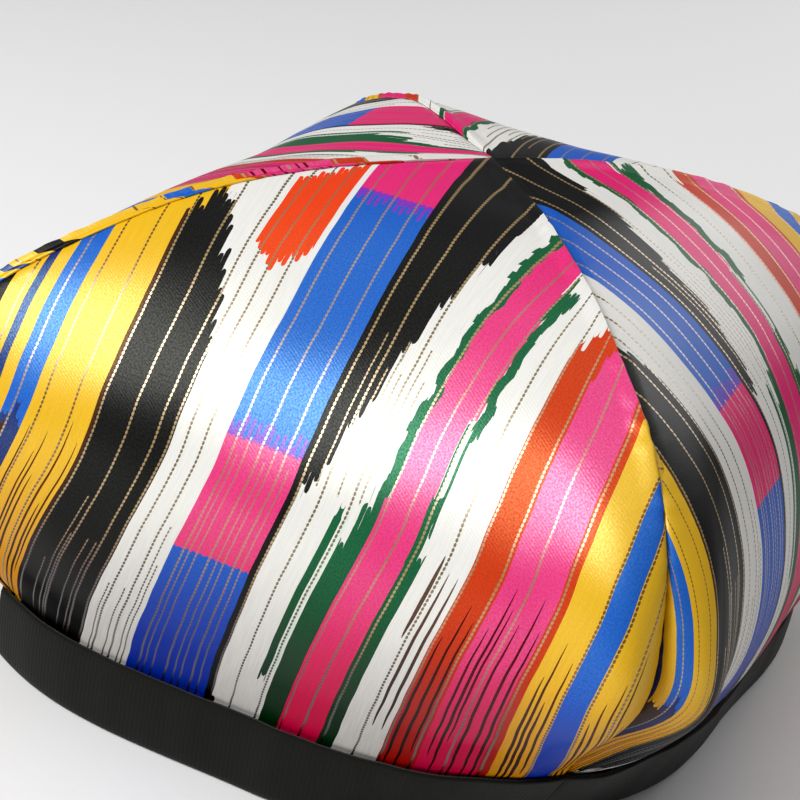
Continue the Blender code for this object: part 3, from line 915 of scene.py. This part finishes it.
def bandRide(alongsBand):
    # how far each column's upper edge moves to lie higher up on the cloth
    moves = []
    fine = np.linspace(lastSection - 1, lastSection, 40)
    for gore in range(4):
        surface = gorePoints(gore, fine, alongsBand[:-1])[::-1]
        for column in range(surface.shape[1]):
            spot = surface[0, column]
            turn = math.degrees(math.atan2(spot[1], spot[0]))
            share = np.clip((turn - binding["rideFrom"]) / binding["rideIn"], 0, 1)
            share *= np.clip((binding["rideTo"] - turn) / binding["rideOut"], 0, 1)
            target = capCut["bandHeight"] + binding["ride"] * share * share * (3 - 2 * share)
            line = surface[:, column]
            moves.append([np.interp(target, line[:, 2], line[:, axis]) - spot[axis] for axis in range(3)])
    return np.array(moves)


def runningLength(points):
    # distance from the first point along a closed line, in millimetres
    steps = np.linalg.norm(np.diff(np.vstack([points, points[:1]]), axis=0), axis=1)
    return np.concatenate([[0], np.cumsum(steps)]) / mm


def ribbedBinding():
    # Ribbed cotton binding tape, black and matt: faint ribs, a little lint, no gloss.
    material, tree, shader = newMaterial("ribbedCottonBinding")
    place = addNode(tree, "UVMap", {}, uv_map="clothMillimetres")
    # ribs 1.1 mm apart run across the tape
    ribs = {"Vector": place, "Scale": 0.29, "Distortion": 1.2, "Detail": 2.0, "Detail Scale": 1.5}
    ribs = addNode(tree, "TexWave", ribs, out=1, bands_direction="X")
    lint = {"Vector": place, "Scale": 1.6, "Detail": 5.0, "Roughness": 0.7}
    lint = addNode(tree, "TexNoise", lint)
    patchy = addNode(tree, "TexNoise", {"Vector": place, "Scale": 0.07, "Detail": 2.0})
    tone = {0: patchy, 6: linearColor("#0C0D0A"), 7: linearColor("#151612")}
    tone = addNode(tree, "Mix", tone, **mixed)
    showing = addNode(tree, "MapRange", {0: lint, 1: 0.62, 2: 0.8, 3: 0.0, 4: 0.35})
    tone = {0: showing, 6: tone, 7: linearColor("#2C2C27")}
    tone = addNode(tree, "Mix", tone, **mixed)
    relief = addNode(tree, "Math", {0: ribs, 1: 0.5, 2: lint}, operation="MULTIPLY_ADD")
    bump = addNode(tree, "Bump", {"Strength": 0.3, "Distance": 0.0003, "Height": relief})
    dressed = {"Base Color": tone, "Normal": bump, "Roughness": 0.95, "Sheen Weight": 0.08}
    fillInputs(tree, shader, {**dressed, "Specular IOR Level": 0.15})
    return material


def makeBinding():
    alongsBand = -np.cos(np.linspace(0, math.pi, binding["segments"] + 1))
    wall, height = capCut["bandWall"], capCut["bandHeight"]
    width = wall + capCut["hemGap"] * 2 + binding["cavity"] + wall
    profile = [(inset, height + past) for inset, past in binding["edge"]]
    profile += [(0.0, height * share) for share in binding["faceLevels"]]
    foot = binding["footRound"]
    profile += [(foot * inset, foot * level) for inset, level in binding["foot"]]
    profile += [(width - inset, level) for inset, level in reversed(profile)]
    top, floor = height - binding["cavityDrop"], wall + binding["cavityFloor"]
    profile += [(width - wall, top), (width - wall, floor), (wall, floor), (wall, top)]
    grid = np.array([bandPoints(level, inset, alongsBand) for inset, level in profile])
    rowNumbers = np.arange(len(profile))
    # the tape's edge wanders a little, and its face is not quite even
    angle = np.arctan2(grid[..., 1], grid[..., 0])
    uneven = sum(high * np.sin(angle * turns + start) for high, turns, start in binding["wanderWaves"])
    away = grid * np.array([1, 1, 0])
    away /= np.linalg.norm(away, axis=-1, keepdims=True)
    level = grid[..., 2] / height
    uneven *= binding["wander"] * np.clip(level / binding["wanderFade"], 0, 1)
    grid = grid + away * uneven[..., None]
    # its upper edge rides up over the cloth at the tucked corner
    isPly = (rowNumbers < len(profile) // 2 - 2) | (rowNumbers == len(profile) - 1)
    grid = grid + bandRide(alongsBand) * (np.clip(level, 0, 1) ** 3 * isPly[:, None])[..., None]
    isOuter = (rowNumbers < len(profile) // 2)[:, None]
    belly = np.clip(level * (binding["bellyTop"] - level) * binding["bellyFull"], 0, 1)
    grid = grid + away * (binding["belly"] * belly * isOuter)[..., None]
    work = bmesh.new()
    uvLayer = work.loops.layers.uv.new("clothMillimetres")
    rows = [[work.verts.new(point) for point in ring] for ring in grid]
    girth, rowDown = runningLength(grid[0]), runningLength(np.array(profile))
    count = len(rows[0])
    for upper in range(len(rows)):
        lower = (upper + 1) % len(rows)
        for left in range(count):
            right = (left + 1) % count
            spots = ((upper, left), (lower, left), (lower, right), (upper, right))
            face = work.faces.new([rows[row][column] for row, column in spots])
            face.smooth = True
            corners = ((left, upper), (left, upper + 1), (left + 1, upper + 1), (left + 1, upper))
            for loop, (column, row) in zip(face.loops, corners):
                loop[uvLayer].uv = (girth[column], rowDown[row])
    mesh = bpy.data.meshes.new("binding_band")
    work.to_mesh(mesh)
    work.free()
    mesh.materials.append(ribbedBinding())
    piece = bpy.data.objects.new("binding_band", mesh)
    scene.collection.objects.link(piece)
    return piece


band = makeBinding()
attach(band, "root")
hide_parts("band")
print("binding sewn on")


# the photo's camera: where it aims and stands on the fitted cap, then that cap's size and turn
photoView = {
    "scale": 1.08,
    "turn": 21.19,
    "distance": 0.425,
    "elevation": 25.954,
    "roll": 8.404,
    "azimuth": 2.339,
    "lens": 88.5,
    "aimSide": -0.011365,
    "aimHeight": 0.05645,
}


def placeCamera():
    names = ("azimuth", "elevation", "roll")
    azimuth, elevation, roll = [math.radians(photoView[name]) for name in names]
    right = Vector((math.cos(azimuth), math.sin(azimuth), 0))
    back = Vector((right.y * math.cos(elevation), -right.x * math.cos(elevation), math.sin(elevation)))
    up = back.cross(right)
    side = math.cos(roll) * right + math.sin(roll) * up
    over = -math.sin(roll) * right + math.cos(roll) * up
    aim = right * photoView["aimSide"] + Vector((0, 0, photoView["aimHeight"]))
    lie = Matrix((side, over, back)).transposed().to_4x4()
    lie.translation = (aim + back * photoView["distance"]) * photoView["scale"]
    data = bpy.data.cameras.new("photoCamera")
    data.lens = photoView["lens"]
    data.sensor_width = 36
    data.clip_start = 0.01
    camera = bpy.data.objects.new("photoCamera", data)
    camera.matrix_world = Matrix.Rotation(math.radians(photoView["turn"]), 4, "Z") @ lie
    scene.collection.objects.link(camera)
    scene.camera = camera


def softLight(name, spot, aim, size, power):
    data = bpy.data.lights.new(name, "AREA")
    data.shape = "RECTANGLE"
    data.size, data.size_y = size
    data.energy = power
    lamp = bpy.data.objects.new(name, data)
    lamp.location = spot
    lamp.rotation_euler = (Vector(aim) - Vector(spot)).to_track_quat("-Z", "Y").to_euler()
    scene.collection.objects.link(lamp)


def mattPaper():
    # Matt white paper: even and pale, so that it shows only the cap's soft shadow.
    material, tree, shader = newMaterial("mattPaper")
    fillInputs(tree, shader, {"Base Color": linearColor("#F6F6F6"), "Roughness": 0.9})
    return material


placeCamera()

bpy.ops.object.select_all(action="DESELECT")
bpy.ops.mesh.primitive_plane_add(size=4.0, location=(0, 0, 0))
table = bpy.context.object
table.name = "pale_table"
table.data.materials.append(mattPaper())

# place, aim, width and height in metres, and watts
lamps = {
    "windowLeft": ((-0.50, -0.73, 0.81), (0, 0, 0.06), (0.68, 0.68), 13.0),
    "overhead": ((0.15, 0.1, 1.3), (0, 0, 0.05), (1.2, 1.2), 3.3),
    "backWindow": ((0.25, 1.0, 0.55), (0, 0, 0.08), (0.6, 0.45), 2.6),
}
for name, settings in lamps.items():
    softLight(name, *settings)

world = bpy.data.worlds.new("paleRoom")
world.use_nodes = True
background = world.node_tree.nodes["Background"]
fillInputs(world.node_tree, background, {"Color": linearColor("#FFFFFF"), "Strength": 0.20})
scene.world = world
scene.view_settings.view_transform = "Standard"
print("lit")
